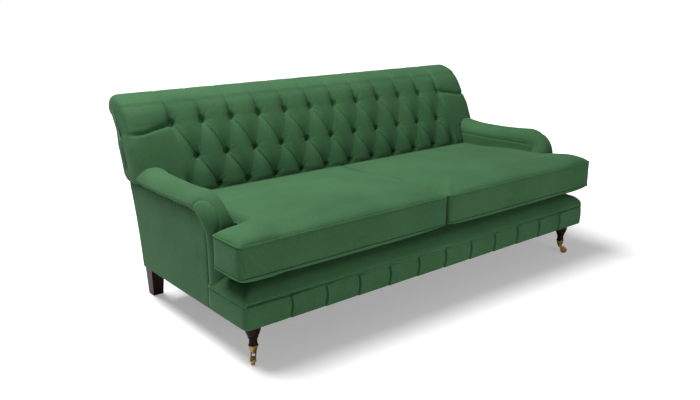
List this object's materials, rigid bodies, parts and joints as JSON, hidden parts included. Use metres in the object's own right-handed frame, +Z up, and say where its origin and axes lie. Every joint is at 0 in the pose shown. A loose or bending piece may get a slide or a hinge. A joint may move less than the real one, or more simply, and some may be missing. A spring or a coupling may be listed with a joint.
{
  "type": "sofa",
  "caption": "Sofa with low rolled arms, deep-buttoned back, loose T-shaped seat cushions, pleated front border, turned front legs on castors and raked rear legs.",
  "frame": {"origin": "middle of the footprint, on the floor", "axes": "+X to the right seen from in front, +Y to the back, +Z up"},
  "size_m": [2, 1.064, 0.8692],
  "materials": {
    "upholstery": "mid-green plain woven cloth with a soft sheen",
    "dust_cloth": "black non-woven cloth",
    "webbing": "jute webbing",
    "spring_steel": "drawn wire",
    "fastener_steel": "zinc plated",
    "frame_timber": "planed beech",
    "leg_timber": "dark stain, satin lacquer",
    "brass": "lacquered brass"
  },
  "bodies": {
    "sofa_frame": {"back_buttons_bottom_row": "upholstery", "back_buttons_middle_row": "upholstery", "back_buttons_top_row": "upholstery", "back_pad": "upholstery", "back_webbing": "webbing", "castor_screws": "brass", "centre_back_post": "frame_timber", "centre_seat_rail": "frame_timber", "corner_block_screws": "fastener_steel", "corner_blocks": "frame_timber", "dust_cover": "dust_cloth", "front_border": "upholstery", "front_left_leg": "leg_timber", "front_right_leg": "leg_timber", "front_seat_rail": "frame_timber", "left_arm_board": "frame_timber", "left_arm_pad": "upholstery", "left_arm_stump": "frame_timber", "left_back_post": "frame_timber", "left_castor_cup": "brass", "left_inside_arm": "upholstery", "left_outside_arm": "upholstery", "left_seat_rail": "frame_timber", "leg_bolts": "fastener_steel", "leg_nuts": "fastener_steel", "lower_back_rail": "frame_timber", "outside_back": "upholstery", "rear_left_leg": "leg_timber", "rear_right_leg": "leg_timber", "rear_seat_rail": "frame_timber", "right_arm_board": "frame_timber", "right_arm_pad": "upholstery", "right_arm_stump": "frame_timber", "right_back_post": "frame_timber", "right_castor_cup": "brass", "right_inside_arm": "upholstery", "right_outside_arm": "upholstery", "right_seat_rail": "frame_timber", "seat_platform": "upholstery", "seat_springs": "spring_steel", "spring_clips": "spring_steel", "top_back_rail": "frame_timber"},
    "left_castor": {"left_castor_horn": "brass", "left_castor_axle": "brass"},
    "right_castor": {"right_castor_horn": "brass", "right_castor_axle": "brass"},
    "left_wheel": {"left_castor_wheel": "brass"},
    "right_wheel": {"right_castor_wheel": "brass"},
    "left_cushion": {"left_seat_cushion": "upholstery", "left_cushion_piping": "upholstery"},
    "right_cushion": {"right_seat_cushion": "upholstery", "right_cushion_piping": "upholstery"}
  },
  "joints": [
    {"name": "left_castor_swivel", "type": "hinge", "parent": "sofa_frame", "child": "left_castor", "pos_m": [-0.908, -0.452, 0.042], "axis": [0, 0, 1], "continuous": true},
    {"name": "left_wheel_roll", "type": "hinge", "parent": "left_castor", "child": "left_wheel", "pos_m": [-0.9213, -0.46825, 0.016], "axis": [0.7738, -0.6334, 0], "continuous": true},
    {"name": "left_cushion_lift", "type": "slide", "parent": "sofa_frame", "child": "left_cushion", "axis": [0, 0, 1], "range_m": [0, 0.3]},
    {"name": "right_castor_swivel", "type": "hinge", "parent": "sofa_frame", "child": "right_castor", "pos_m": [0.908, -0.452, 0.042], "axis": [0, 0, 1], "continuous": true},
    {"name": "right_wheel_roll", "type": "hinge", "parent": "right_castor", "child": "right_wheel", "pos_m": [0.92427, -0.46527, 0.016], "axis": [0.632, 0.7749, 0], "continuous": true},
    {"name": "right_cushion_lift", "type": "slide", "parent": "sofa_frame", "child": "right_cushion", "axis": [0, 0, 1], "range_m": [0, 0.3]}
  ]
}
